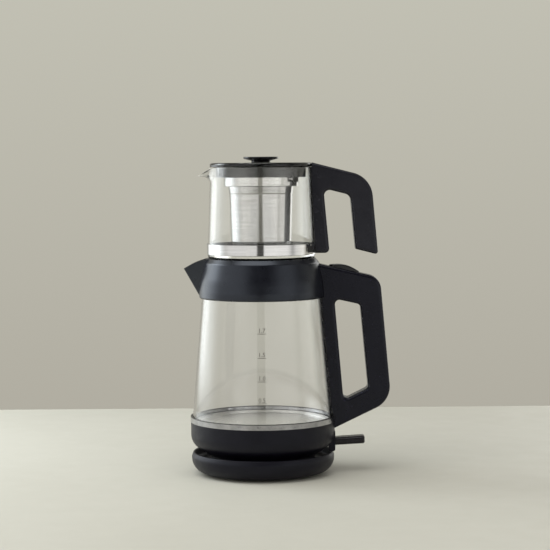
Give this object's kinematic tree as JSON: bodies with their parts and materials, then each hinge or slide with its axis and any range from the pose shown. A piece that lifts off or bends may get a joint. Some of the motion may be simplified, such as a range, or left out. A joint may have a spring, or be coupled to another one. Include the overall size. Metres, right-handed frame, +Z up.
{
  "type": "tea maker",
  "caption": "Two-storey electric tea maker: glass kettle on a round power base, glass teapot with lid and steel infuser standing on the kettle.",
  "frame": {"origin": "on the surface that the feet stand on, under the kettle's axis", "axes": "+Z up along the kettle's axis, +X towards the handles, -X towards the spouts, +Y towards the cord gland at the back"},
  "size_m": [0.2321, 0.1695, 0.3587],
  "materials": {
    "dark_plastic": "satin moulded black",
    "gloss_dark_plastic": "gloss black",
    "smoked_plastic": "smoked see-through",
    "clear_glass": "clear",
    "brushed_steel": "fine brushed",
    "polished_steel": "polished",
    "brass": "plain",
    "rubber": "matt",
    "aluminium": "cast"
  },
  "bodies": {
    "power_base": {"base_cover": "dark_plastic", "base_plate": "dark_plastic", "base_feet": "rubber", "base_screws": "brushed_steel", "base_connector": "dark_plastic", "base_contacts": "brass", "cord_gland": "rubber"},
    "connector_pin": {"kettle_pin": "brushed_steel"},
    "kettle": {"kettle_connector": "dark_plastic", "connector_ring": "brass", "kettle_underside": "dark_plastic", "underside_screws": "brushed_steel", "control_unit": "dark_plastic", "lever_pin": "brushed_steel", "kettle_housing": "dark_plastic", "heating_element": "aluminium", "heat_spreader": "aluminium", "heater_plate": "brushed_steel", "glass_seal": "rubber", "trim_ring": "polished_steel", "kettle_glass": "clear_glass", "kettle_collar": "dark_plastic", "collar_seal": "rubber", "spout_filter": "brushed_steel", "hinge_pin": "brushed_steel", "kettle_handle": "dark_plastic", "handle_screws": "brushed_steel", "button_spring": "brushed_steel"},
    "switch_lever": {"switch_lever": "dark_plastic"},
    "lid_release_button": {"lid_release_button": "gloss_dark_plastic"},
    "lid_latch": {"lid_latch": "dark_plastic"},
    "kettle_lid": {"kettle_lid": "dark_plastic"},
    "teapot": {"teapot_glass": "clear_glass", "teapot_band": "brushed_steel", "band_studs": "dark_plastic", "band_screw": "brushed_steel", "teapot_handle": "dark_plastic"},
    "teapot_lid": {"teapot_cover": "smoked_plastic", "lid_knob": "gloss_dark_plastic", "knob_nut": "gloss_dark_plastic"},
    "infuser": {"infuser_collar": "polished_steel", "infuser_basket": "brushed_steel"}
  },
  "joints": [
    {"name": "kettle_lift", "type": "slide", "parent": "power_base", "child": "connector_pin", "axis": [0, 0, 1], "range_m": [0, 0.08]},
    {"name": "kettle_swivel", "type": "hinge", "parent": "connector_pin", "child": "kettle", "pos_m": [0, 0, 0], "axis": [0, 0, 1], "continuous": true},
    {"name": "switch_toggle", "type": "hinge", "parent": "kettle", "child": "switch_lever", "pos_m": [0.07, 0, 0.035], "axis": [0, 1, 0], "range_deg": [0, 10]},
    {"name": "button_press", "type": "slide", "parent": "kettle", "child": "lid_release_button", "axis": [-0.2388, 0, -0.9711], "range_m": [0, 0.003], "stiffness_N_per_m": 400, "springref_m": -0.002, "deforming": ["button_spring"]},
    {"name": "latch_slide", "type": "slide", "parent": "kettle", "child": "lid_latch", "axis": [1, 0, 0], "range_m": [0, 0.0025]},
    {"name": "kettle_lid_open", "type": "hinge", "parent": "kettle", "child": "kettle_lid", "pos_m": [0.0486, 0, 0.2406], "axis": [0, 1, 0], "range_deg": [0, 80]},
    {"name": "teapot_lift", "type": "slide", "parent": "kettle", "child": "teapot", "axis": [0, 0, 1], "range_m": [0, 0.15]},
    {"name": "teapot_lid_lift", "type": "slide", "parent": "teapot", "child": "teapot_lid", "axis": [0, 0, 1], "range_m": [0, 0.11]},
    {"name": "infuser_twist", "type": "hinge", "parent": "teapot_lid", "child": "infuser", "pos_m": [0, 0, 0.33], "axis": [0, 0, 1], "range_deg": [0, 25]}
  ],
  "couplings": [
    {"joint": "latch_slide", "follows": "button_press", "ratio": 0.83},
    {"joint": "kettle_lid_open", "follows": "teapot_lift", "rad_per_m": 9.3}
  ]
}
